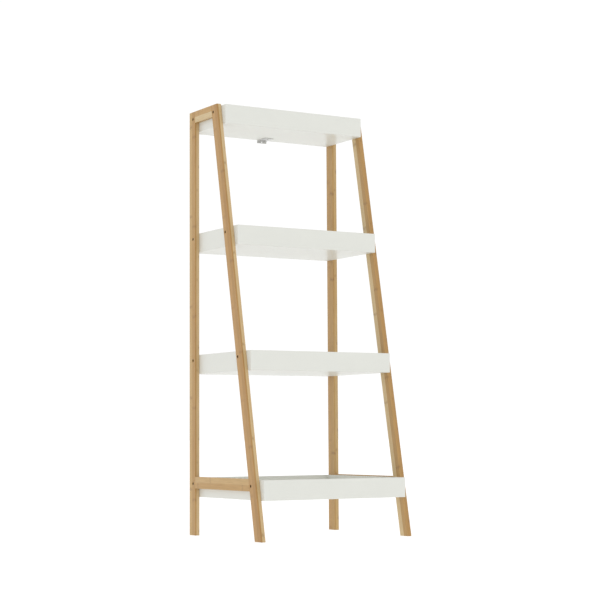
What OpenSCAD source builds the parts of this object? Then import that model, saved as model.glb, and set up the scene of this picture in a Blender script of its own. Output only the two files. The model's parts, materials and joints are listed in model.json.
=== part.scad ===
// Ladder shelf: four lacquered trays between two bamboo side frames.
// Each side frame is an upright rear post, a leaning front leg and two rails, joined with dowels.
// Each tray is four boards round a floor panel, joined with dowels and bolted through the frames.
// Origin: centre of the footprint on the floor. +X right, -Y front, +Z up. Millimetres.

/* [Shelf] */
// Height from the floor to the tops of the side frames
total_h = 1400; // [1390:5:1450]
// Width over the two side frames
total_w = 554; // [480:2:640]
// Depth at the floor, from the wall plane to the toes of the front legs
base_d = 476; // [460:2:500]

/* [Side frames] */
// Thickness of every bamboo batten, across the shelf
batten_t = 16; // [14:1:18]
// Width of a post or a leg, across its length
batten_w = 40; // [39:1:46]
// Height of a rail
rail_h = 38; // [37:1:44]
// Lean of the front legs from the vertical, in degrees
leg_lean = 11.4; // [11:0.1:12]
// Radius of the long edges of posts, legs and rails
batten_r = 1; // [0.5:0.5:2]

/* [Trays] */
// Height of a tray from its underside to its rim
tray_h = 63; // [60:1:64]
// Height from one tray to the next
tier_pitch = 402.5; // [380:0.5:410]
// How far the top tray's rim lies below the frame tops
rim_drop = 5; // [4:1:6]
// How far the bottom rails stand above the lowest tray's rim
low_rail_rise = 3; // [2:0.5:4]
// How far a tray's front stands ahead of the legs, at the tray's middle height
tray_overhang = 23; // [18:1:26]
// Thickness of the four boards round a tray
board_t = 12; // [12:1:15]
// Thickness of a tray's floor panel
floor_t = 9; // [8:1:10]
// Depth of the rebate that the floor panel sits in
rebate_w = 6; // [4:1:7]
// Radius of a tray's upright outer corners
corner_r = 2; // [1:0.5:3]
// Radius of the long edges of the boards round a tray
board_r = 1; // [0.5:0.5:1.5]

/* [Bolts] */
// Height of the bolts above a tray's underside
bolt_rise = 44; // [43.5:0.5:45]
// Thread diameter of the tray bolts
bolt_d = 5; // [4:1:5]
// Length of a bolt's shank under its head
bolt_l = 18; // [16:1:18]
// Diameter of a bolt's cap head
head_d = 8.5; // [7:0.5:8.5]
// Height of a bolt's cap head
head_h = 5; // [4:0.5:5]
// Diameter of the counterbore that hides a bolt's head
counterbore_d = 9.6; // [9:0.1:10]
// Depth of the counterbore
counterbore_l = 6.5; // [6:0.5:7]
// Distance of the bolts from the wall plane in the rear posts
post_bolt_in = 24; // [23:1:28]
// Distance of the bolts from the rear edge of a front leg
leg_bolt_in = 9.5; // [9:0.5:14]

/* [Wall bracket] */
// Width of the bracket
bracket_w = 36; // [30:1:40]
// Length of the bracket's arm under the top tray
bracket_l = 54; // [50:1:60]
// Height of the bracket's tab against the wall
bracket_h = 10; // [10:1:14]
// Thickness of the bracket's sheet steel
bracket_t = 2; // [1.5:0.5:2]
// Diameter of the hole for the wall screw
wall_hole_d = 4.5; // [4:0.5:4.5]

/* [Hidden] */
$fn = 64;
tiers = 4;                             // tray 1 is the top one
side_names = ["left", "right"];
wall_y = base_d / 2;                   // plane of the rear faces
frame_x = total_w / 2;                 // outer face of a side frame
tray_w = total_w - 2 * batten_t;       // trays fill the space between the frames
leg_d = batten_w / cos(leg_lean);      // front-to-back depth of a leg on a level cut
leg_spare = base_d;                    // extra length of a leg before it is cut level
head_recess = counterbore_l - head_h;
shank_gap = 0.5;                       // clearance on the diameter of a bolt in its batten
thread_gap = 0.1;                      // clearance on a diameter where a thread holds
key_flats = 4;                         // hexagon socket, across flats
key_l = 2.8;
insert_d = 8;                          // threaded insert in a tray's side board
insert_l = board_t - 1;
frame_dowel_d = 6;
frame_dowel_l = 30;
frame_dowel_rises = [-13.5, 13.5];      // dowels from a rail's middle height
tray_dowel_d = 6;
tray_dowel_l = 30;
tray_dowel_in = board_t - 4;           // depth of a dowel in the front or rear board
tray_dowel_rises = [18, 34];           // dowels from a tray's underside
glue_gap = 0.5;                        // space at each end of a dowel
screw_d = 3.5;                         // bracket screws, into the floor panel
screw_l = 8;
screw_hole_d = 4;
screw_head_d = 7;
screw_head_h = 2;
screw_cross_w = 1;                     // cross recess in a screw's head
screw_cross_l = 4;
screw_cross_h = 1.2;
screw_ins = [22, 42];                  // distances of the screws from the wall plane
bend_r = 1;                            // inside radius of the bracket's bend
wall_hole_rise = 4;                  // wall hole from the tab's lower edge
over = 1;                              // how far a cutter runs past a face

function tray_z(i) = total_h - rim_drop - tray_h - (i - 1) * tier_pitch;
function tray_front_y(i) = leg_front_y(tray_z(i) + tray_h / 2) - tray_overhang;
function leg_front_y(z) = -wall_y + z * tan(leg_lean);
function leg_rear_y(z) = leg_front_y(z) + leg_d;
function rail_z(is_top) = (is_top ? total_h : tray_z(tiers) + tray_h + low_rail_rise) - rail_h;
function bolt_z(i) = tray_z(i) + bolt_rise;
// Front-to-back places of the bolts of tray i: in the rear post and in the front leg
function bolt_ys(i) = [wall_y - post_bolt_in, leg_rear_y(bolt_z(i)) - leg_bolt_in];

// Draws a left piece where it is, or mirrored to the right.
module on_side(name) {
    if (name == "right") mirror([1, 0, 0]) children();
    else children();
}

// Rectangle with four rounded corners, centred.
module rounded_rect(w, d, r) {
    square([w - 2 * r, d], center = true);
    square([w, d - 2 * r], center = true);
    for (x = [-1, 1], y = [-1, 1]) translate([x * (w / 2 - r), y * (d / 2 - r)]) circle(r);
}

// Rectangle centred on X with its two corners on the X axis rounded.
module board_plan(w, d, r) {
    translate([-w / 2, r]) square([w, d - r]);
    translate([-w / 2 + r, 0]) square([w - 2 * r, d]);
    for (x = [-1, 1]) translate([x * (w / 2 - r), r]) circle(r);
}

// Holes of the left frame's bolts: a clearance hole along X with a counterbore outside.
module bolt_holes() {
    for (i = [1:tiers], y = bolt_ys(i))
        translate([-frame_x - over, y, bolt_z(i)]) rotate([0, 90, 0]) {
            cylinder(h = batten_t + 2 * over, d = bolt_d + shank_gap);
            cylinder(h = counterbore_l + over, d = counterbore_d);
        }
}

// Dowels at both ends of both rails of the left frame, or their holes.
module frame_dowel_set(l) {
    for (is_top = [true, false], rise = frame_dowel_rises) {
        z = rail_z(is_top) + rail_h / 2 + rise;
        for (y = [wall_y - batten_w, leg_rear_y(z)])
            translate([-frame_x + batten_t / 2, y, z]) rotate([90, 0, 0])
                cylinder(h = l, d = frame_dowel_d, center = true);
    }
}

// Dowels at the corners of tray i, or their holes, which are longer by the gap at each end.
module tray_dowel_set(i, gap) {
    for (x = [-1, 1], rise = tray_dowel_rises)
        translate([x * (tray_w - board_t) / 2, 0, tray_z(i) + rise]) rotate([-90, 0, 0]) {
            translate([0, 0, tray_front_y(i) + board_t - tray_dowel_in - gap])
                cylinder(h = tray_dowel_l + 2 * gap, d = tray_dowel_d);
            translate([0, 0, wall_y - board_t + tray_dowel_in - tray_dowel_l - gap])
                cylinder(h = tray_dowel_l + 2 * gap, d = tray_dowel_d);
        }
}

// Bodies of tray i's inserts in its left board, or their holes.
module insert_set(i, d, l) {
    for (y = bolt_ys(i)) translate([-tray_w / 2, y, bolt_z(i)]) rotate([0, 90, 0]) cylinder(h = l, d = d);
}

// Shanks of the bracket's screws, or their holes, upwards from the bracket's lower face.
module screw_set(d, l) {
    for (d_in = screw_ins) translate([0, wall_y - d_in, tray_z(1) - bracket_t]) cylinder(h = l, d = d);
}

module rear_post(side) {
    color("burlywood") on_side(side) difference() {
        translate([-frame_x + batten_t / 2, wall_y - batten_w / 2, 0])
            linear_extrude(total_h) rounded_rect(batten_t, batten_w, batten_r);
        bolt_holes();
        frame_dowel_set(frame_dowel_l + 2 * glue_gap);
    }
}

// A batten that leans back from its toe, cut level at the floor and at the top.
module front_leg(side) {
    color("burlywood") on_side(side) difference() {
        intersection() {
            translate([-frame_x + batten_t / 2, -wall_y, 0]) rotate([-leg_lean, 0, 0])
                translate([0, batten_w / 2, -leg_spare])
                    linear_extrude(total_h + 2 * leg_spare) rounded_rect(batten_t, batten_w, batten_r);
            translate([-total_w, -base_d, 0]) cube([2 * total_w, 2 * base_d, total_h]);
        }
        bolt_holes();
        frame_dowel_set(frame_dowel_l + 2 * glue_gap);
    }
}

// A rail between the post and the leg; its front end is cut to the leg's lean.
module rail(side, is_top) {
    low = rail_z(is_top);
    high = low + rail_h;
    color("burlywood") on_side(side) difference() {
        intersection() {
            translate([-frame_x, 0, 0]) rotate([90, 0, 90]) linear_extrude(batten_t)
                polygon([
                    [leg_rear_y(low), low], [wall_y - batten_w, low],
                    [wall_y - batten_w, high], [leg_rear_y(high), high]
                ]);
            translate([-frame_x + batten_t / 2, wall_y, low + rail_h / 2]) rotate([90, 0, 0])
                linear_extrude(base_d) rounded_rect(batten_t, rail_h, batten_r);
        }
        frame_dowel_set(frame_dowel_l + 2 * glue_gap);
    }
}

module frame_dowels(side) {
    color("wheat") on_side(side) frame_dowel_set(frame_dowel_l);
}

// Cap-head bolts with hexagon sockets, one through each post and leg for each tray.
module tray_bolts(side) {
    color("dimgray") on_side(side)
        for (i = [1:tiers], y = bolt_ys(i))
            translate([-frame_x + head_recess, y, bolt_z(i)]) rotate([0, 90, 0]) difference() {
                union() {
                    cylinder(h = head_h, d = head_d);
                    cylinder(h = head_h + bolt_l, d = bolt_d);
                }
                translate([0, 0, -over])
                    cylinder(h = key_l + over, d = key_flats / cos(30), $fn = 6);
            }
}

module tray_inserts(side) {
    color("darkgoldenrod") on_side(side)
        for (i = [1:tiers]) difference() {
            insert_set(i, insert_d, insert_l);
            translate([-over, 0, 0]) insert_set(i, bolt_d + thread_gap, insert_l + 2 * over);
        }
}

// Board across a tray, its outer face on the XZ plane and its upright outer corners rounded.
module cross_board() {
    intersection() {
        linear_extrude(tray_h) board_plan(tray_w, board_t, corner_r);
        translate([0, board_t / 2, tray_h / 2]) rotate([90, 0, 90])
            linear_extrude(tray_w, center = true) rounded_rect(board_t, tray_h, board_r);
    }
}

// Board across the front of tray i, with a stopped rebate for the floor panel.
module front_board(i) {
    color("ghostwhite") difference() {
        translate([0, tray_front_y(i), tray_z(i)]) cross_board();
        floor_space(i);
        tray_dowel_set(i, glue_gap);
    }
}

module rear_board(i) {
    color("ghostwhite") difference() {
        translate([0, wall_y, tray_z(i)]) mirror([0, 1, 0]) cross_board();
        floor_space(i);
        tray_dowel_set(i, glue_gap);
    }
}

// Board along a side of tray i, between its front and rear boards.
module side_board(side, i) {
    color("ghostwhite") on_side(side) difference() {
        translate([(board_t - tray_w) / 2, wall_y - board_t, tray_z(i) + tray_h / 2])
            rotate([90, 0, 0]) linear_extrude(wall_y - tray_front_y(i) - 2 * board_t)
                rounded_rect(board_t, tray_h, board_r);
        floor_space(i);
        tray_dowel_set(i, glue_gap);
        insert_set(i, insert_d, insert_l);
    }
}

// The room that a floor panel takes up, a little deeper than the boards' undersides.
module floor_space(i) {
    edge = board_t - rebate_w;
    translate([-tray_w / 2 + edge, tray_front_y(i) + edge, tray_z(i) - over])
        cube([tray_w - 2 * edge, wall_y - tray_front_y(i) - 2 * edge, floor_t + over]);
}

module floor_panel(i) {
    color("ghostwhite") difference() {
        floor_space(i);
        translate([-tray_w, -base_d, tray_z(i) - 2 * over]) cube([2 * tray_w, 2 * base_d, 2 * over]);
        if (i == 1) screw_set(screw_d, screw_l);
    }
}

module tray_dowels(i) {
    color("wheat") tray_dowel_set(i, 0);
}

// Angle bracket: an arm screwed under the top tray, bent down to a tab against the wall.
module wall_bracket() {
    top = tray_z(1);
    bend_y = wall_y - bracket_t - bend_r;
    bend_z = top - bracket_t - bend_r;
    color("silver") difference() {
        rotate([90, 0, 90]) linear_extrude(bracket_w, center = true) {
            translate([wall_y - bracket_l, top - bracket_t])
                square([bracket_l - bracket_t - bend_r, bracket_t]);
            translate([wall_y - bracket_t, top - bracket_h])
                square([bracket_t, bracket_h - bracket_t - bend_r]);
            translate([bend_y, bend_z]) intersection() {
                difference() {
                    circle(bracket_t + bend_r);
                    circle(bend_r);
                }
                square(2 * (bracket_t + bend_r));
            }
        }
        screw_set(screw_hole_d, bracket_t + over);
        translate([0, wall_y + over, top - bracket_h + wall_hole_rise]) rotate([90, 0, 0])
            cylinder(h = bracket_t + 2 * over, d = wall_hole_d);
    }
}

// Pan-head screws with a cross recess, upwards through the bracket into the floor panel.
module wall_bracket_screws() {
    color("silver") difference() {
        union() {
            screw_set(screw_d, screw_l);
            translate([0, 0, -screw_head_h]) screw_set(screw_head_d, screw_head_h);
        }
        for (d_in = screw_ins, turn = [0, 90])
            translate([0, wall_y - d_in, tray_z(1) - bracket_t - screw_head_h]) rotate(turn)
                cube([screw_cross_l, screw_cross_w, 2 * screw_cross_h], center = true);
    }
}

for (s = side_names) {
    rear_post(s);
    front_leg(s);
    rail(s, true);
    rail(s, false);
    frame_dowels(s);
    tray_bolts(s);
    tray_inserts(s);
}
for (i = [1:tiers]) {
    front_board(i);
    rear_board(i);
    side_board("left", i);
    side_board("right", i);
    floor_panel(i);
    tray_dowels(i);
}
wall_bracket();
wall_bracket_screws();
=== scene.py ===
"""Ladder shelf: bamboo battens, lacquered tray boards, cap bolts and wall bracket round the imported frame.

Every length is in metres in the frame's own axes: +X right, -Y front, +Z up, floor at Z 0.
"""

import json
import math

import bmesh
import bpy
import numpy as np
from bpy.props import FloatProperty, FloatVectorProperty, PointerProperty, StringProperty
from mathutils import Matrix, Vector


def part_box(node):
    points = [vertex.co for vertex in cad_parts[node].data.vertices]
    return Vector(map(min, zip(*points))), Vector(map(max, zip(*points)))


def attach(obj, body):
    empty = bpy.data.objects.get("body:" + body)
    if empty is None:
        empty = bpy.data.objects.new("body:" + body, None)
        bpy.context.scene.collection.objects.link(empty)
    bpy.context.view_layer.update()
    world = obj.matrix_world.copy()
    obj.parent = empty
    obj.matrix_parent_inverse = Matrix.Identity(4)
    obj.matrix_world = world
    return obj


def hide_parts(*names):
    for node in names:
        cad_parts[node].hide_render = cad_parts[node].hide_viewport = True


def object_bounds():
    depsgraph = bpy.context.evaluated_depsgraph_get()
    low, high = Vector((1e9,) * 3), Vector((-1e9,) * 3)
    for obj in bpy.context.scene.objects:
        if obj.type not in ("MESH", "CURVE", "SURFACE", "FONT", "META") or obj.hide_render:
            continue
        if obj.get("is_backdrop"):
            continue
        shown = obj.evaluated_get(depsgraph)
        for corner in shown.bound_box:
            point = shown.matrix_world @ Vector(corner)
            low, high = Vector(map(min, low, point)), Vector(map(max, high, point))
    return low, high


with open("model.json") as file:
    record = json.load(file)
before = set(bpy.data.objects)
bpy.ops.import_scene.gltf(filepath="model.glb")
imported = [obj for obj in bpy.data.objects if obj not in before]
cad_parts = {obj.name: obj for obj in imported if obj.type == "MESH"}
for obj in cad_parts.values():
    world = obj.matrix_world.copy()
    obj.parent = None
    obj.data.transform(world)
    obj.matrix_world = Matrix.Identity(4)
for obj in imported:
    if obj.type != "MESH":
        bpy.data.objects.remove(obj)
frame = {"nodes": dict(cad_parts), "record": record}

bl_info = {
    "name": "Ladder shelf",
    "version": (1, 0, 0),
    "blender": (4, 5, 0),
    "location": "View3D > Sidebar > Shelf",
    "description": "Builds the surfaces and finishes of a ladder shelf with four trays",
    "category": "Add Mesh",
}

MM = 0.001
SIDES = ("left", "right")
TIERS = (1, 2, 3, 4)
BODY = "root"
ARC_STEPS = 6
EASE_STEPS = 4
TURNED_STEPS = 48
LEAST_RADIUS = 0.05 * MM
SHARP_ANGLE = math.radians(32)
GRAIN = "grain"
SHIFT_CELLS = (1, 50)  # a batten's grain moves by 1 to 49 canes, strips and layers
SEEDS_A_SIDE = 10  # room for the seeds of one side frame's battens
SHEET_T = 2 * MM  # thickness of the wall bracket's sheet
FLOOR_REACH = 60  # half the floor's width, in diagonals of the shelf
SENSOR_W = 36  # width of the camera's sensor in millimetres


# ---------------------------------------------------------------- measures taken from the frame


def lean():
    """Tangent of the legs' lean: how far apart the front ends of the two left rails lie, over their rise."""
    high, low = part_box("left_top_rail")[0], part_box("left_bottom_rail")[0]
    return (high.y - low.y) / (high.z - low.z)


def leg_rear(z):
    """Y of the legs' rear faces at a height: the bottom rail's front end, carried along the lean."""
    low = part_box("left_bottom_rail")[0]
    return low.y + (z - low.z) * lean()


def bolt_places(side, head_radius):
    """(y, z) of a side frame's bolts. The outermost ones fill the node's box, and the trays between them
    stand at equal heights, so the leg's bolts follow its lean and the post's stay upright."""
    low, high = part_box(f"{side}_tray_bolts")
    heights = np.linspace(low.z + head_radius, high.z - head_radius, len(TIERS))
    in_post = np.full(len(TIERS), high.y - head_radius)
    in_leg = low.y + head_radius + (heights - heights[0]) * lean()
    return np.column_stack([np.concatenate([in_post, in_leg]), np.tile(heights, 2)])


# ---------------------------------------------------------------- surfaces


def outlines(corners, radii, insets):
    """Outlines of a counter-clockwise polygon with rounded corners, as (insets, points, 2).

    A corner moves in by the inset along its mitre, the sum of its two edges' outward normals over one plus
    their dot product. Its arc turns from the first normal to the second about a centre on the same mitre,
    with its radius less the inset, or plus it where the corner is hollow.
    """
    corners = np.asarray(corners, float)
    edges = np.roll(corners, -1, axis=0) - corners
    normals = np.column_stack([edges[:, 1], -edges[:, 0]]) / np.hypot(*edges.T)[:, None]
    before = np.roll(normals, 1, axis=0)
    mitres = (before + normals) / (1 + (before * normals).sum(axis=1))[:, None]
    start = np.arctan2(before[:, 1], before[:, 0])
    turn = (np.arctan2(normals[:, 1], normals[:, 0]) - start + math.pi) % math.tau - math.pi
    side = np.sign(turn)
    insets = np.atleast_1d(insets)[:, None]
    radius = np.maximum(np.asarray(radii) - side * insets, LEAST_RADIUS)
    centres = corners - (insets + side * radius)[..., None] * mitres
    angles = start[:, None] + turn[:, None] * np.linspace(0, 1, ARC_STEPS + 1)
    rays = np.stack([np.cos(angles), np.sin(angles)], axis=-1)
    points = centres[:, :, None] + (side * radius)[..., None, None] * rays
    return points.reshape(len(insets), -1, 2)


def bar(corners, radii, length, ease):
    """Rings of a bar with that section, as (rings, points, 3) of (u, v, w), w running from 0 to its length.

    A quarter circle eases each end: at an angle t of it, the ring lies ease * (1 - cos t) from the end and
    its outline is drawn in by ease * (1 - sin t).
    """
    t = np.linspace(0, math.pi / 2, EASE_STEPS + 1)
    places, insets = ease * (1 - np.cos(t)), ease * (1 - np.sin(t))
    places = np.concatenate([places, length - places[::-1]])
    flat = outlines(corners, radii, np.concatenate([insets, insets[::-1]]))
    along = np.broadcast_to(places[:, None, None], flat.shape[:2] + (1,))
    return np.concatenate([flat, along], axis=2)


def turned(radii, heights, flats=0.0):
    """Rings of a turned form, as (rings, points, 3) of (u, v, w), with a radius and a w for each ring.

    Where flats is 0 a ring is a circle. Where it is 1 it is the hexagon whose inner circle has that radius:
    the radius over the cosine of the angle to the nearest of six flats.
    """
    columns = np.broadcast_arrays(*map(np.atleast_1d, (radii, heights, flats)))
    radii, heights, flats = (column[:, None] for column in columns)
    angle = np.arange(TURNED_STEPS) * math.tau / TURNED_STEPS
    sixth = math.tau / 6
    hexagon = 1 / np.cos((angle + sixth / 2) % sixth - sixth / 2)
    radius = radii * (1 + flats * (hexagon - 1))
    return np.stack(np.broadcast_arrays(radius * np.cos(angle), radius * np.sin(angle), heights), axis=-1)


def box_corners(low_u, low_v, high_u, high_v):
    """The four corners of a rectangle, counter-clockwise from its lowest."""
    return [(low_u, low_v), (high_u, low_v), (high_u, high_v), (low_u, high_v)]


def skin(name, parts):
    """One object of closed surfaces. Each part is an array of rings: four-sided faces join each ring to the
    next and one flat face closes each end. The normals are turned outwards."""
    corners, faces, first = [], [], 0
    for rings in parts:
        index = first + np.arange(rings.shape[0] * rings.shape[1]).reshape(rings.shape[:2])
        here, there = index[:-1], index[1:]
        quads = np.stack([here, np.roll(here, -1, 1), np.roll(there, -1, 1), there], axis=-1)
        faces += quads.reshape(-1, 4).tolist() + [index[0][::-1].tolist(), index[-1].tolist()]
        corners.append(rings.reshape(-1, 3))
        first += index.size
    mesh = bpy.data.meshes.new(name)
    mesh.from_pydata(np.concatenate(corners), [], faces)
    shape = bmesh.new()
    shape.from_mesh(mesh)
    bmesh.ops.recalc_face_normals(shape, faces=shape.faces)
    shape.to_mesh(mesh)
    shape.free()
    piece = bpy.data.objects.new(name, mesh)
    bpy.context.scene.collection.objects.link(piece)
    return piece


def carve(piece, parts, operation="DIFFERENCE"):
    """Cuts closed surfaces out of a piece, or keeps only what lies in them, and bakes the result into its
    mesh."""
    tool = skin(piece.name + "_tool", parts)
    cut = piece.modifiers.new("carve", "BOOLEAN")
    cut.object, cut.operation, cut.solver = tool, operation, "EXACT"
    whole = piece.data
    piece.data = bpy.data.meshes.new_from_object(piece.evaluated_get(bpy.context.evaluated_depsgraph_get()))
    piece.data.name = piece.name
    piece.modifiers.clear()
    bpy.data.meshes.remove(whole)
    bpy.data.meshes.remove(tool.data)
    if len(piece.data.polygons) == 0:
        raise RuntimeError(f"{piece.name}: nothing was left after carving")


def finish(piece, material, slot, *nodes):
    """Gives a piece its material and its edge shading, and lets it stand for its CAD nodes."""
    piece.data.materials.clear()
    piece.data.materials.append(material)
    piece.data.shade_smooth()
    piece.data.set_sharp_from_angle(angle=SHARP_ANGLE)
    weighted = piece.modifiers.new("flat_faces_stay_flat", "WEIGHTED_NORMAL")
    weighted.keep_sharp = True
    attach(piece, BODY)
    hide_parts(*nodes)


def write_grain(piece, along, across, through, seed):
    """Stores each point's place in its batten as a vector: along its length, across its width and through its
    thickness. Moving it by a seeded number of whole strips and layers gives every batten its own bamboo."""
    shift = np.random.default_rng(seed).integers(*SHIFT_CELLS, 3) * (CANE_L, STRIP_W, LAYER_T)
    grain = np.column_stack([along, across, through]) + shift
    layer = piece.data.attributes.new(GRAIN, "FLOAT_VECTOR", "POINT")
    layer.data.foreach_set("vector", grain.astype(np.float32).ravel())


def points_of(piece):
    """The piece's points as (points, 3)."""
    flat = np.empty(len(piece.data.vertices) * 3)
    piece.data.vertices.foreach_get("co", flat)
    return flat.reshape(-1, 3)


# ---------------------------------------------------------------- materials

STRIP_W = 21.5 * MM  # width of a bamboo strip before a batten's two are planed to size
LAYER_T = 6.2 * MM  # thickness of the middle layer of three; the outer two are planed thinner
CANE_L = 300 * MM  # length of bamboo cane between two knuckles
KNUCKLE_L = 9 * MM  # reach of a knuckle's stain to each side of its middle
RIDGE_L = 1.2 * MM  # reach of the dark line in a knuckle's middle
FIBRE_W = 1.1 * MM  # a bundle of fibres; single ones are a third of this and wouldn't show
FIBRE_L = 45 * MM  # length of such a bundle
SEAM_W = 0.35 * MM  # a glued seam between strips or layers
LAYER_SHIFT = 1.5  # in layers; puts the middle layer round the batten's own middle
DRIFT_PER_M = (4, 25, 60)  # cells of a strip's slow drift of tone, to a metre along, across and through
DRIFT_SHARE = 0.3  # share of that drift in a strip's tone
WARM_SHARE = 0.35  # most of the warm tint that a strip takes; half of the strips take none
FIBRE_SHADE = (0.86, 1.1)  # brightness between bundles and on them
WAVE_PER_M = (8, 110, 110)  # cells of a knuckle's waviness, to a metre along, across and through
WAVE_L = 12 * MM  # the most that this waviness moves a knuckle
CANE_SPREAD = 7.0  # in canes; how far the knuckles of two strips may be shifted apart
STAIN_SHARE = 0.5  # knuckle tint in the middle of the stain
RIDGE_SHARE = 0.25  # knuckle tint that the dark line adds
FAINT_SHARE = 0.3  # strength of the faintest strip's knuckles
SEAM_SHARE = 0.4  # knuckle tint in a seam
NOISE_SPAN = (0.3, 0.7)  # most of the noise lies between these
CLOUD_W = 90 * MM  # unevenness of the lacquer's gloss
PEEL_W = 3 * MM  # orange peel in the lacquer


def linear(hex_colour):
    """An sRGB hex colour such as "#C8A272" as linear RGBA."""
    levels = np.array([int(hex_colour[i : i + 2], 16) for i in (1, 3, 5)]) / 255
    levels = np.where(levels <= 0.04045, levels / 12.92, ((levels + 0.055) / 1.055) ** 2.4)
    return (*levels.tolist(), 1.0)


def add(tree, kind, settings=None, links=None):
    """Adds a shader node. Settings name its properties or its inputs; links name inputs and give sockets."""
    node = tree.nodes.new("ShaderNode" + kind)
    for key, value in (settings or {}).items():
        if isinstance(key, str) and hasattr(node, key):
            setattr(node, key, value)
        else:
            node.inputs[key].default_value = value
    for key, socket in (links or {}).items():
        tree.links.new(socket, node.inputs[key])
    return node


def start_material(name, shader_settings):
    """A material with a Principled shader on its output; returns it, its tree and its shader."""
    material = bpy.data.materials.new(name)
    material.use_nodes = True
    tree = material.node_tree
    tree.nodes.clear()
    shader = add(tree, "BsdfPrincipled", shader_settings)
    add(tree, "OutputMaterial", links={"Surface": shader.outputs["BSDF"]})
    return material, tree, shader


def math_of(tree, operation, first, second=0.0, third=0.0):
    """Adds a math node; each value is a number or a socket."""
    values = {0: first, 1: second, 2: third}
    sockets = {key: value for key, value in values.items() if isinstance(value, bpy.types.NodeSocket)}
    numbers = {key: value for key, value in values.items() if key not in sockets}
    return add(tree, "Math", {"operation": operation, **numbers}, sockets).outputs[0]


def scaled(tree, vector, factors, shift=(0, 0, 0)):
    """A vector times factors, one for each axis, plus a shift."""
    settings = {"operation": "MULTIPLY_ADD", 1: factors, 2: shift}
    return add(tree, "VectorMath", settings, {0: vector}).outputs["Vector"]


def noise(tree, vector, detail=3.0):
    """Soft noise of one cell to a unit of the vector."""
    return add(tree, "TexNoise", {"Scale": 1, "Detail": detail}, {"Vector": vector}).outputs["Fac"]


def remap(tree, value, source, target, smooth=False):
    """Carries a value from one range to another, held at both ends."""
    kind = "SMOOTHSTEP" if smooth else "LINEAR"
    settings = {"interpolation_type": kind, "From Min": source[0], "From Max": source[1]}
    settings.update({"To Min": target[0], "To Max": target[1]})
    return add(tree, "MapRange", settings, {"Value": value}).outputs["Result"]


def ramp(tree, factor, stops):
    """Adds a colour ramp with stops of (position, hex colour) and returns its colour."""
    node = add(tree, "ValToRGB", links={"Fac": factor})
    node.color_ramp.elements.remove(node.color_ramp.elements[0])
    for i, (position, colour) in enumerate(stops):
        element = node.color_ramp.elements[0] if i == 0 else node.color_ramp.elements.new(position)
        element.position, element.color = position, linear(colour)
    return node.outputs["Color"]


def tinted(tree, colour, share, tint):
    """Mixes a hex tint into a colour by a share."""
    settings = {"data_type": "RGBA", 7: linear(tint)}
    return add(tree, "Mix", settings, {0: share, 6: colour}).outputs[2]


def relief(tree, shader, height, strength, depth):
    """Lets a height between 0 and 1 stand out of the surface by a depth."""
    bump = add(tree, "Bump", {"Strength": strength, "Distance": depth}, {"Height": height})
    tree.links.new(bump.outputs["Normal"], shader.inputs["Normal"])


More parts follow.
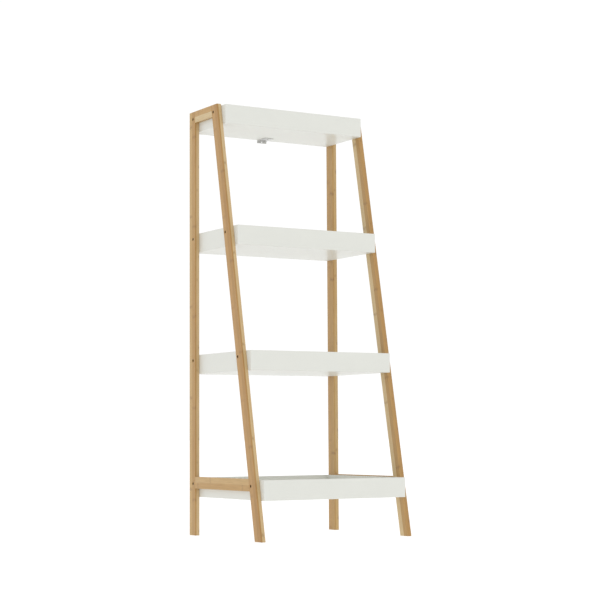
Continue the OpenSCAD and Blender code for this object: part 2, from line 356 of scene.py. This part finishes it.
def varnished_bamboo(look):
    """Laminated bamboo, planed and varnished satin. Strips 20 mm wide in three layers differ in tone and in
    warmth; a soft brown knuckle crosses each strip every 0.3 m, fibre bundles run lengthwise, and hairline
    seams show where strips and layers meet. The varnish keeps a soft sheen over the open grain."""
    settings = {"IOR": 1.5, "Coat Weight": 0.12, "Coat Roughness": 0.25}
    material, tree, shader = start_material("satin_varnished_bamboo", settings)
    grain = add(tree, "Attribute", {"attribute_name": GRAIN}).outputs["Vector"]
    cells = scaled(tree, grain, (0, 1 / STRIP_W, 1 / LAYER_T), (0, 0, LAYER_SHIFT))
    strip = add(tree, "VectorMath", {"operation": "FLOOR"}, {0: cells}).outputs["Vector"]
    dice = add(tree, "TexWhiteNoise", links={"Vector": strip}).outputs["Color"]
    chances = add(tree, "SeparateColor", links={0: dice})

    # Tone and warmth: each strip has its own, and its tone drifts slowly along the cane.
    drift = noise(tree, scaled(tree, grain, DRIFT_PER_M), detail=2)
    settings = {"data_type": "FLOAT", 0: DRIFT_SHARE}
    tone = add(tree, "Mix", settings, {2: chances.outputs[0], 3: drift}).outputs[0]
    colour = ramp(tree, tone, look.bamboo_stops())
    warmth = remap(tree, chances.outputs[1], (0.5, 1), (0, WARM_SHARE))
    colour = tinted(tree, colour, warmth, look.bamboo_warm_hex)

    # Fibre bundles: noise drawn out along the length.
    fibre = noise(tree, scaled(tree, grain, (1 / FIBRE_L, 1 / FIBRE_W, 1 / FIBRE_W)), detail=4)
    shade = remap(tree, fibre, NOISE_SPAN, FIBRE_SHADE)
    settings = {"data_type": "RGBA", "blend_type": "MULTIPLY", 0: 1.0}
    colour = add(tree, "Mix", settings, {6: colour, 7: shade}).outputs[2]

    # Knuckles: how far a point lies from the middle of the nearest one, shifted for each strip and wavy.
    axes = add(tree, "SeparateXYZ", links={0: grain}).outputs
    wave = noise(tree, scaled(tree, grain, WAVE_PER_M), detail=1)
    bent = math_of(tree, "MULTIPLY_ADD", wave, WAVE_L, axes["X"])
    along = math_of(tree, "DIVIDE", bent, CANE_L)
    canes = math_of(tree, "MULTIPLY_ADD", chances.outputs[2], CANE_SPREAD, along)
    away = math_of(tree, "MULTIPLY", math_of(tree, "PINGPONG", canes, 0.5), CANE_L)
    stain = remap(tree, away, (0, KNUCKLE_L), (STAIN_SHARE, 0), smooth=True)
    ridge = remap(tree, away, (0, RIDGE_L), (RIDGE_SHARE, 0), smooth=True)
    marked = remap(tree, chances.outputs[1], (0, 1), (1, FAINT_SHARE))
    knuckle = math_of(tree, "MULTIPLY", math_of(tree, "ADD", stain, ridge), marked)
    colour = tinted(tree, colour, knuckle, look.knuckle_hex)

    # Seams: how far a point lies from the nearest edge of its strip or its layer.
    sides = add(tree, "SeparateXYZ", links={0: cells}).outputs
    to_strip = math_of(tree, "MULTIPLY", math_of(tree, "PINGPONG", sides["Y"], 0.5), STRIP_W)
    to_layer = math_of(tree, "MULTIPLY", math_of(tree, "PINGPONG", sides["Z"], 0.5), LAYER_T)
    seam = remap(tree, math_of(tree, "MINIMUM", to_strip, to_layer), (0, SEAM_W), (SEAM_SHARE, 0))
    colour = tinted(tree, colour, seam, look.knuckle_hex)
    tree.links.new(colour, shader.inputs["Base Color"])

    # Open grain breaks the sheen up, and fibres and seams stand in low relief.
    open_grain, planed = 0.5, 0.36
    roughness = remap(tree, fibre, NOISE_SPAN, (open_grain, planed))
    tree.links.new(roughness, shader.inputs["Roughness"])
    relief(tree, shader, math_of(tree, "SUBTRACT", fibre, seam), strength=0.35, depth=0.08 * MM)
    return material


def satin_lacquer(look):
    """Fibreboard sprayed with white satin lacquer: an even, slightly warm white whose film levels to a faint
    orange peel 3 mm across, with a soft gloss that is a little uneven over a hand's width."""
    material, tree, shader = start_material("white_satin_lacquer", {"IOR": 1.5})
    place = add(tree, "TexCoord").outputs["Object"]
    cloud = noise(tree, scaled(tree, place, (1 / CLOUD_W,) * 3))
    colour = ramp(tree, cloud, zip(NOISE_SPAN, (look.lacquer_low_hex, look.lacquer_hex)))
    tree.links.new(colour, shader.inputs["Base Color"])
    glossiest, dullest = 0.29, 0.34
    roughness = remap(tree, cloud, NOISE_SPAN, (glossiest, dullest))
    tree.links.new(roughness, shader.inputs["Roughness"])
    peel = noise(tree, scaled(tree, place, (1 / PEEL_W,) * 3), detail=1)
    relief(tree, shader, peel, strength=0.12, depth=0.01 * MM)
    return material


def blackened_steel():
    """Cold-formed steel bolts with a black oxide skin: dark, half matt, with faint brown clouds 2 mm wide."""
    material, tree, shader = start_material("black_oxide_steel", {"Metallic": 1.0})
    place = add(tree, "TexCoord").outputs["Object"]
    cloud_w = 2 * MM
    cloud = noise(tree, scaled(tree, place, (1 / cloud_w,) * 3))
    colour = ramp(tree, cloud, zip(NOISE_SPAN, ("#3A342D", "#574E43")))
    tree.links.new(colour, shader.inputs["Base Color"])
    glossiest, dullest = 0.36, 0.5
    roughness = remap(tree, cloud, NOISE_SPAN, (glossiest, dullest))
    tree.links.new(roughness, shader.inputs["Roughness"])
    return material


def zinc_plate():
    """Pressed steel with bright zinc plate: pale grey metal with fine cloudy crystals about 3 mm across."""
    material, tree, shader = start_material("bright_zinc_plate", {"Metallic": 1.0})
    crystal_w = 3 * MM
    place = scaled(tree, add(tree, "TexCoord").outputs["Object"], (1 / crystal_w,) * 3)
    crystal = add(tree, "TexVoronoi", {"Scale": 1}, {"Vector": place}).outputs["Color"]
    value = add(tree, "RGBToBW", links={"Color": crystal}).outputs["Val"]
    colour = ramp(tree, value, [(0.1, "#BEBEBC"), (0.9, "#CFCFCC")])
    tree.links.new(colour, shader.inputs["Base Color"])
    glossiest, dullest = 0.28, 0.42
    tree.links.new(remap(tree, value, (0, 1), (glossiest, dullest)), shader.inputs["Roughness"])
    return material


def raw_beech():
    """Turned beech dowel, unfinished: pale pink-brown with short dark rays and open, dull grain along Y."""
    material, tree, shader = start_material("raw_beech", {"Roughness": 0.7})
    place = add(tree, "TexCoord").outputs["Object"]
    ray_w, ray_l = 0.8 * MM, 12 * MM
    ray = noise(tree, scaled(tree, place, (1 / ray_w, 1 / ray_l, 1 / ray_w)), detail=4)
    colour = ramp(tree, ray, [(0.3, "#B98F67"), (0.5, "#D2AE85"), (0.75, "#DDBE98")])
    tree.links.new(colour, shader.inputs["Base Color"])
    relief(tree, shader, ray, strength=0.4, depth=0.1 * MM)
    return material


def turned_brass():
    """Turned brass insert: yellow metal with knurled rings 0.8 mm apart round its X axis. Its grooves are
    painted darker than its crests, as painted shade in the recesses.
    """
    material, tree, shader = start_material("turned_brass", {"Metallic": 1.0})
    place = add(tree, "TexCoord").outputs["Object"]
    ring_pitch, phase_per_unit = 0.8 * MM, 20  # the wave node's own phase runs 20 radians to a unit
    scale = math.tau / (phase_per_unit * ring_pitch)
    settings = {"wave_type": "BANDS", "bands_direction": "X", "Scale": scale}
    ring = add(tree, "TexWave", settings, {"Vector": place}).outputs["Fac"]
    # painted shade: the colour darkens towards the grooves, where the relief is lowest
    colour = ramp(tree, ring, [(0.0, "#9B7B3E"), (1.0, "#C9A860")])
    tree.links.new(colour, shader.inputs["Base Color"])
    groove, crest = 0.42, 0.26
    tree.links.new(remap(tree, ring, (0, 1), (groove, crest)), shader.inputs["Roughness"])
    relief(tree, shader, ring, strength=0.6, depth=0.2 * MM)
    return material


# ---------------------------------------------------------------- settings


class ShelfShape(bpy.types.PropertyGroup):
    """Sizes of the softened edges and of the small hardware."""

    batten_radius: FloatProperty(
        name="Batten edge", description="Radius of the battens' long edges", default=1 * MM, unit="LENGTH"
    )
    batten_ease: FloatProperty(
        name="Batten end", description="Easing of the posts' and legs' ends", default=1 * MM, unit="LENGTH"
    )
    joint_ease: FloatProperty(
        name="Joint", description="Easing of a rail's ends at its joints", default=0.3 * MM, unit="LENGTH"
    )
    corner_radius: FloatProperty(
        name="Tray corner", description="Radius of a tray's upright corners", default=2 * MM, unit="LENGTH"
    )
    board_radius: FloatProperty(
        name="Board joint", description="Radius of a board's upright edges at a joint", default=0.4 * MM,
        unit="LENGTH",
    )
    board_ease: FloatProperty(
        name="Board rim", description="Easing of the boards' rims and lower edges", default=1 * MM,
        unit="LENGTH",
    )
    panel_gap: FloatProperty(
        name="Panel gap", description="Gap round a floor panel in its rebate", default=0.12 * MM,
        unit="LENGTH",
    )
    head_diameter: FloatProperty(
        name="Bolt head", description="Diameter of a tray bolt's cap head", default=8.5 * MM, unit="LENGTH"
    )
    head_height: FloatProperty(
        name="Bolt head height", description="Height of a tray bolt's cap head", default=5 * MM, unit="LENGTH"
    )
    shank_diameter: FloatProperty(
        name="Bolt shank", description="Diameter of a tray bolt's shank", default=5 * MM, unit="LENGTH"
    )
    counterbore: FloatProperty(
        name="Counterbore", description="Diameter of the counterbore round a bolt's head", default=9.6 * MM,
        unit="LENGTH",
    )


class ShelfLook(bpy.types.PropertyGroup):
    """Colours of the finishes, as sRGB hex values."""

    bamboo_pale_hex: StringProperty(name="Pale bamboo", description="Palest strips", default="#D0B88B")
    bamboo_mid_hex: StringProperty(name="Bamboo", description="Most strips", default="#BF9C61")
    bamboo_deep_hex: StringProperty(name="Deep bamboo", description="Darkest strips", default="#AA7F42")
    bamboo_warm_hex: StringProperty(
        name="Warm bamboo", description="Tint of warm strips", default="#C2945F"
    )
    knuckle_hex: StringProperty(name="Knuckle", description="Knuckles and seams", default="#80562B")
    lacquer_hex: StringProperty(name="Lacquer", description="White of the trays", default="#E1E2DB")
    lacquer_low_hex: StringProperty(
        name="Lacquer, thin", description="White where the film is thinner", default="#DFE0D9"
    )

    def bamboo_stops(self):
        """Ramp stops from the darkest strips to the palest."""
        return [(0.12, self.bamboo_deep_hex), (0.5, self.bamboo_mid_hex), (0.88, self.bamboo_pale_hex)]


class ShelfStage(bpy.types.PropertyGroup):
    """Camera, floor and light."""

    azimuth: FloatProperty(
        name="Azimuth", description="Turn of the camera round the shelf, from straight ahead",
        default=math.radians(-30.93), subtype="ANGLE",
    )
    elevation: FloatProperty(
        name="Elevation", description="Rise of the camera seen from its aim", default=math.radians(-4.674),
        subtype="ANGLE",
    )
    roll: FloatProperty(
        name="Roll", description="Turn of the camera about its own axis", default=math.radians(-0.316),
        subtype="ANGLE",
    )
    distance: FloatProperty(
        name="Distance", description="From the camera to its aim", default=5.4135, unit="LENGTH"
    )
    aim: FloatVectorProperty(
        name="Aim", description="Where the camera looks, from the middle of the shelf's box",
        default=(0.0, -0.0127, 0.0653), subtype="XYZ", unit="LENGTH",
    )
    focal: FloatProperty(
        name="Lens", description="Focal length on a 36 mm sensor, in millimetres", default=99.23
    )
    horizon: FloatProperty(name="Horizon", description="Radiance of the white surroundings", default=1.0)
    zenith: FloatProperty(name="Zenith", description="Radiance of the white overhead", default=0.9)
    flank: FloatProperty(
        name="Flank", description="How much brighter than their middle the surroundings are at +X",
        default=0.08
    )
    floor_glow: FloatProperty(name="Floor glow", description="Radiance of the lit floor", default=0.78)
    floor_colour: FloatVectorProperty(
        name="Floor", description="Colour of the floor", default=(0.3, 0.3, 0.3), subtype="COLOR", size=3
    )


# ---------------------------------------------------------------- battens


def post_rings(side, shape):
    """An upright bar that fills the rear post's box."""
    low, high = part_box(f"{side}_rear_post")
    return bar(
        box_corners(low.x, low.y, high.x, high.y), shape.batten_radius, high.z - low.z, shape.batten_ease
    ) + (0, 0, low.z)


def leg_rings(side, shape):
    """An upright bar as deep as a level cut of the leg, then sheared: each point moves back by its height
    times the lean."""
    low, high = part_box(f"{side}_front_leg")
    rings = bar(
        box_corners(low.x, low.y, high.x, leg_rear(low.z)), shape.batten_radius, high.z - low.z,
        shape.batten_ease,
    ) + (0, 0, low.z)
    rings[..., 1] += (rings[..., 2] - low.z) * lean()
    return rings


def rail_rings(side, level, shape):
    """A bar from the post's front face to the leg. Its length at each height reaches the leg's rear face, so
    its front end takes the leg's lean while its faces stay flat."""
    low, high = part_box(f"{side}_{level}_rail")
    rings = bar(box_corners(low.x, low.z, high.x, high.z), shape.batten_radius, 1.0, shape.joint_ease)
    x, z, share = np.moveaxis(rings, -1, 0)
    ease = shape.joint_ease / (high.y - low.y)
    share = np.where(share < 0.5, np.minimum(share / shape.joint_ease, 1) * ease, share)
    share = np.where(share > 0.5, 1 - np.minimum((1 - share) / shape.joint_ease, 1) * ease, share)
    return np.stack([x, high.y + share * (leg_rear(z) - high.y), z], axis=-1)


def bolt_bores(side, shape):
    """Stepped holes for a side frame's bolts: an eased mouth, the counterbore and the shank's clearance."""
    low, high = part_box(f"{side}_rear_post")
    outwards = -1 if side == "left" else 1
    face = low.x if side == "left" else high.x
    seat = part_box(f"{side}_tray_bolts")
    head_in = (seat[0].x - low.x if side == "left" else high.x - seat[1].x) + shape.head_height
    mouth, over, clearance = 0.4 * MM, 1 * MM, 0.25 * MM
    bore, shank = shape.counterbore / 2, shape.shank_diameter / 2 + clearance
    rings = turned([bore + mouth + over, bore, bore, shank, shank],
                   [-over, mouth, head_in, head_in, high.x - low.x + over])
    u, v, w = np.moveaxis(rings, -1, 0)
    return [
        np.stack([face - outwards * w, y + u, z + v], axis=-1)
        for y, z in bolt_places(side, shape.head_diameter / 2)
    ]


def build_battens(scene):
    """Posts, legs and rails of both side frames."""
    shape = scene.shelf_shape
    bamboo = varnished_bamboo(scene.shelf_look)
    cosine = 1 / math.hypot(1, lean())
    for number, side in enumerate(SIDES):
        bores = bolt_bores(side, shape)
        post = skin(f"{side}_post_batten", [post_rings(side, shape)])
        leg = skin(f"{side}_leg_batten", [leg_rings(side, shape)])
        carve(post, bores[: len(TIERS)])
        carve(leg, bores[len(TIERS) :])

        low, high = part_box(f"{side}_rear_post")
        middle = (low + high) / 2
        x, y, z = points_of(post).T
        write_grain(post, z, y - middle.y, x - middle.x, seed=SEEDS_A_SIDE * number + 1)
        x, y, z = points_of(leg).T
        from_rear = (y - leg_rear(z)) * cosine
        along = z / cosine + from_rear * lean()
        write_grain(leg, along, from_rear, x - middle.x, seed=SEEDS_A_SIDE * number + 2)
        finish(post, bamboo, "bamboo", f"{side}_rear_post")
        finish(leg, bamboo, "bamboo", f"{side}_front_leg")

        for step, level in enumerate(("top", "bottom")):
            rail = skin(f"{side}_{level}_rail_batten", [rail_rings(side, level, shape)])
            low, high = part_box(f"{side}_{level}_rail")
            x, y, z = points_of(rail).T
            across = z - (low.z + high.z) / 2
            write_grain(rail, y, across, x - middle.x, seed=SEEDS_A_SIDE * number + 3 + step)
            finish(rail, bamboo, "bamboo", f"{side}_{level}_rail")


# ---------------------------------------------------------------- trays


def board_rings(node, radii, ease):
    """An upright bar that fills the node's box, with a radius for each upright edge."""
    low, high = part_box(node)
    return bar(box_corners(low.x, low.y, high.x, high.y), radii, high.z - low.z, ease) + (0, 0, low.z)


def build_trays(scene):
    """Four boards and a floor panel for each tray. The boards are rebated where the panel sits in them."""
    shape = scene.shelf_shape
    lacquer = satin_lacquer(scene.shelf_look)
    outer, joint = shape.corner_radius, shape.board_radius
    edge_radii = {
        "front_board": (outer, outer, joint, joint),
        "rear_board": (joint, joint, outer, outer),
        "left_board": (joint,) * 4,
        "right_board": (joint,) * 4,
    }
    for tier in TIERS:
        panel = f"tray_{tier}_floor_panel"
        low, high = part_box(panel)
        gap = Vector((shape.panel_gap,) * 3)
        low, high = low - gap, high + gap
        room = bar(box_corners(low.x, low.y, high.x, high.y), LEAST_RADIUS, high.z - low.z + MM, LEAST_RADIUS)
        room = room + (0, 0, low.z - MM)
        for kind, radii in edge_radii.items():
            node = f"tray_{tier}_{kind}"
            board = skin(f"tray_{tier}_lacquered_{kind}", [board_rings(node, radii, shape.board_ease)])
            carve(board, [room])
            finish(board, lacquer, "white_lacquer", node)
        floor = skin(f"tray_{tier}_lacquered_floor", [board_rings(panel, joint, shape.panel_gap * 2)])
        finish(floor, lacquer, "white_lacquer", panel)


# ---------------------------------------------------------------- hardware


def bolt_rings(shape, shank_length):
    """A cap bolt from the bottom of its hexagon socket, over its head and down its shank to the tip."""
    head, height = shape.head_diameter / 2, shape.head_height
    shank, tip = shape.shank_diameter / 2, height + shank_length
    flat, socket, mouth, round_off, chamfer = 2 * MM, 2.8 * MM, 0.35 * MM, 0.5 * MM, 0.6 * MM
    return turned(
        [flat, flat, flat + mouth, head - round_off, head - round_off * 0.3, head, head,
         shank + mouth, shank, shank, shank - chamfer],
        [socket, mouth, 0, 0, round_off * 0.3, round_off, height,
         height, height + mouth, tip - chamfer, tip],
        [1, 1, 0.6, 0, 0, 0, 0, 0, 0, 0, 0],
    )


def build_bolts(scene):
    """Eight cap bolts in each side frame, their heads sunk in the counterbores."""
    shape = scene.shelf_shape
    steel = blackened_steel()
    for side in SIDES:
        low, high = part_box(f"{side}_tray_bolts")
        rings = bolt_rings(shape, high.x - low.x - shape.head_height)
        u, v, w = np.moveaxis(rings, -1, 0)
        x = low.x + w if side == "left" else high.x - w
        places = bolt_places(side, shape.head_diameter / 2)
        bolts = skin(f"{side}_cap_bolts", [np.stack([x, y + u, z + v], axis=-1) for y, z in places])
        finish(bolts, steel, "bolt_steel", f"{side}_tray_bolts")


def screw_rings(head_radius, head_height, shank_radius, length):
    """A pan-head screw, w downwards from under its head: its shank, then its head as a dome over rings of
    falling radius. The cross recess sinks where a point lies within half a slot's width of either axis."""
    slot_half, slot_reach, slot_slope, depth = 0.55 * MM, 2.1 * MM, 0.6 * MM, 1.1 * MM
    point_l, rim, point_share, under_share = 1.5 * MM, 0.25 * MM, 0.3, 0.96
    dome_steps, dome_turn = 16, 0.49 * math.pi
    shank = turned(
        [shank_radius * point_share, shank_radius, shank_radius, head_radius * under_share, head_radius],
        [-length, -length + point_l, 0, 0, rim],
    )
    falling = head_radius * np.cos(np.linspace(0, dome_turn, dome_steps)[1:])
    dome = turned(falling, 0)
    u, v, _ = np.moveaxis(dome, -1, 0)
    reach = np.hypot(u, v)
    rise = head_height - (head_height - rim) * (reach / head_radius) ** 3
    in_slot = np.minimum(np.abs(u), np.abs(v)) < slot_half
    sunk = depth * np.clip((slot_reach - reach) / slot_slope, 0, 1) * in_slot
    dome[..., 2] = rise - sunk
    return np.concatenate([shank, dome])


def bracket_bores(screws):
    """The bracket's two upright screw holes and the level hole for the wall screw."""
    radius, reach = 2 * MM, 4 * MM
    up = turned([radius] * 2, [-reach, reach])
    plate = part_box("wall_bracket")[1].z
    bores = [up + (0, y, plate) for y in screws]
    hole = next(m for m in frame["record"]["mounts"] if m["name"] == "wall_screw_hole")
    u, v, w = np.moveaxis(turned([hole["dims"]["r_mm"] * MM] * 2, [-reach, reach]), -1, 0)
    return bores + [np.stack([u, w, v], axis=-1) + np.array(hole["pos_m"])]


def build_bracket():
    """The anti-tip bracket, a bent strip with rounded ends, and its two screws."""
    zinc = zinc_plate()
    low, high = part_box("wall_bracket")
    screw_low, screw_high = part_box("wall_bracket_screws")
    head = (screw_high.x - screw_low.x) / 2
    head_height = high.z - SHEET_T - screw_low.z
    screws = (screw_low.y + head, screw_high.y - head)

    bend_y, bend_z = high.y - SHEET_T, high.z - SHEET_T
    section = [(low.y, bend_z), (bend_y, bend_z), (bend_y, low.z), (high.y, low.z), (high.y, high.z),
               (low.y, high.z)]
    cut, bend, ease, tab_round, over = 0.3 * MM, 1 * MM, 0.25 * MM, 5 * MM, 2 * MM
    shank_radius = 1.75 * MM
    rings = bar(section, (cut, bend, cut, cut, bend + SHEET_T, cut), high.x - low.x, ease)
    y, z, x = np.moveaxis(rings, -1, 0)
    bracket = skin("anti_tip_bracket", [np.stack([low.x + x, y, z], axis=-1)])
    outline = box_corners(low.x, low.y, high.x, high.y + SHEET_T)
    plan = bar(outline, (tab_round, tab_round, cut, cut), high.z - low.z + 2 * over, LEAST_RADIUS)
    carve(bracket, [plan + (0, 0, low.z - over)], "INTERSECT")
    carve(bracket, bracket_bores(screws))
    finish(bracket, zinc, "zinc_steel", "wall_bracket")

    one = screw_rings(head, head_height, shank_radius, screw_high.z - high.z + SHEET_T)
    u, v, w = np.moveaxis(one, -1, 0)
    parts = [np.stack([u, y + v, high.z - SHEET_T - w], axis=-1) for y in screws]
    finish(skin("bracket_pan_screws", parts), zinc, "zinc_steel", "wall_bracket_screws")


def build_joinery():
    """Finishes of the dowels and inserts, whose CAD shapes stay."""
    beech, brass = raw_beech(), turned_brass()
    finishes = {f"{side}_frame_dowels": beech for side in SIDES}
    finishes.update({f"tray_{tier}_dowels": beech for tier in TIERS})
    finishes.update({f"{side}_tray_inserts": brass for side in SIDES})
    for node, material in finishes.items():
        for slot in frame["nodes"][node].material_slots:
            slot.material = material


# ---------------------------------------------------------------- stage


def build_stage(scene):
    """A plain white floor lit from within, soft white surroundings that fade overhead, and the camera."""
    stage = scene.shelf_stage
    low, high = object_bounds()
    reach = FLOOR_REACH * (high - low).length
    mesh = bpy.data.meshes.new("floor")
    corners = [(u, v, 0) for u, v in box_corners(-reach, -reach, reach, reach)]
    mesh.from_pydata(corners, [], [(0, 1, 2, 3)])
    floor = bpy.data.objects.new("floor", mesh)
    scene.collection.objects.link(floor)
    glow = {"Emission Color": (1, 1, 1, 1), "Emission Strength": stage.floor_glow, "Roughness": 0.8}
    material, _, shader = start_material("lit_floor", glow)
    shader.inputs["Base Color"].default_value = (*stage.floor_colour, 1)
    mesh.materials.append(material)
    floor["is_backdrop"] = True

    scene.world = bpy.data.worlds.new("white_surroundings")
    scene.world.use_nodes = True
    tree = scene.world.node_tree
    direction = add(tree, "TexCoord").outputs["Generated"]
    axes = add(tree, "SeparateXYZ", links={0: direction}).outputs
    fade_from, fade_to = math.radians(18), math.radians(45)
    fade = (math.sin(fade_from), math.sin(fade_to))
    radiance = remap(tree, axes["Z"], fade, (stage.horizon, stage.zenith), smooth=True)
    sideways = math_of(tree, "MULTIPLY_ADD", axes["X"], stage.flank, 1.0)
    radiance = math_of(tree, "MULTIPLY", radiance, sideways)
    # Seen directly the surroundings are plain white; only the light they give is uneven.
    seen = add(tree, "LightPath").outputs["Is Camera Ray"]
    radiance = math_of(tree, "MAXIMUM", radiance, seen)
    background = tree.nodes["Background"]
    background.inputs["Color"].default_value = (1, 1, 1, 1)
    tree.links.new(radiance, background.inputs["Strength"])

    aim = (low + high) / 2 + Vector(stage.aim)
    camera = bpy.data.objects.new("camera", bpy.data.cameras.new("camera"))
    camera.data.sensor_width, camera.data.lens = SENSOR_W, stage.focal
    camera.data.clip_start, camera.data.clip_end = 0.1, 1000
    turn = (
        Matrix.Rotation(stage.azimuth, 4, "Z")
        @ Matrix.Rotation(math.pi / 2 - stage.elevation, 4, "X")
        @ Matrix.Rotation(stage.roll, 4, "Z")
    )
    back = turn.to_3x3() @ Vector((0, 0, 1))
    camera.matrix_world = Matrix.Translation(aim + back * stage.distance) @ turn
    scene.collection.objects.link(camera)
    scene.camera = camera
    scene.view_settings.view_transform = "Standard"


# ---------------------------------------------------------------- add-on


class SHELF_OT_battens(bpy.types.Operator):
    """Builds the posts, legs and rails of both side frames"""

    bl_idname = "shelf.battens"
    bl_label = "Battens"

    def execute(self, context):
        build_battens(context.scene)
        return {"FINISHED"}


class SHELF_OT_trays(bpy.types.Operator):
    """Builds the boards and the floor panels of the four trays"""

    bl_idname = "shelf.trays"
    bl_label = "Trays"

    def execute(self, context):
        build_trays(context.scene)
        return {"FINISHED"}


class SHELF_OT_bolts(bpy.types.Operator):
    """Builds the cap bolts that hold the trays"""

    bl_idname = "shelf.bolts"
    bl_label = "Bolts"

    def execute(self, context):
        build_bolts(context.scene)
        return {"FINISHED"}


class SHELF_OT_bracket(bpy.types.Operator):
    """Builds the anti-tip bracket and its screws"""

    bl_idname = "shelf.bracket"
    bl_label = "Wall bracket"

    def execute(self, context):
        build_bracket()
        return {"FINISHED"}


class SHELF_OT_joinery(bpy.types.Operator):
    """Finishes the dowels and the threaded inserts"""

    bl_idname = "shelf.joinery"
    bl_label = "Joinery"

    def execute(self, context):
        build_joinery()
        return {"FINISHED"}


class SHELF_OT_stage(bpy.types.Operator):
    """Adds the floor, the light and the camera"""

    bl_idname = "shelf.stage"
    bl_label = "Stage"

    def execute(self, context):
        build_stage(context.scene)
        return {"FINISHED"}


OPERATORS = (
    SHELF_OT_battens,
    SHELF_OT_trays,
    SHELF_OT_bolts,
    SHELF_OT_bracket,
    SHELF_OT_joinery,
    SHELF_OT_stage,
)


class SHELF_PT_sidebar(bpy.types.Panel):
    """Lists the shelf's builders and settings in the sidebar."""

    bl_idname = "SHELF_PT_sidebar"
    bl_label = "Ladder shelf"
    bl_space_type = "VIEW_3D"
    bl_region_type = "UI"
    bl_category = "Shelf"

    def draw(self, context):
        for operator in OPERATORS:
            self.layout.operator(operator.bl_idname)
        for group in (context.scene.shelf_shape, context.scene.shelf_look, context.scene.shelf_stage):
            column = self.layout.box().column()
            for name in group.__annotations__:
                column.prop(group, name)


GROUPS = {"shelf_shape": ShelfShape, "shelf_look": ShelfLook, "shelf_stage": ShelfStage}


def register():
    """Registers the settings, the operators and the panel."""
    for name, group in GROUPS.items():
        bpy.utils.register_class(group)
        setattr(bpy.types.Scene, name, PointerProperty(type=group))
    for kind in (*OPERATORS, SHELF_PT_sidebar):
        bpy.utils.register_class(kind)


def unregister():
    """Takes the panel, the operators and the settings away again."""
    for kind in (SHELF_PT_sidebar, *reversed(OPERATORS)):
        bpy.utils.unregister_class(kind)
    for name, group in GROUPS.items():
        delattr(bpy.types.Scene, name)
        bpy.utils.unregister_class(group)


def main():
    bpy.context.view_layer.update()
    register()
    bpy.ops.shelf.battens()
    bpy.ops.shelf.trays()
    bpy.ops.shelf.bolts()
    bpy.ops.shelf.bracket()
    bpy.ops.shelf.joinery()
    bpy.ops.shelf.stage()


if __name__ == "__main__":
    main()
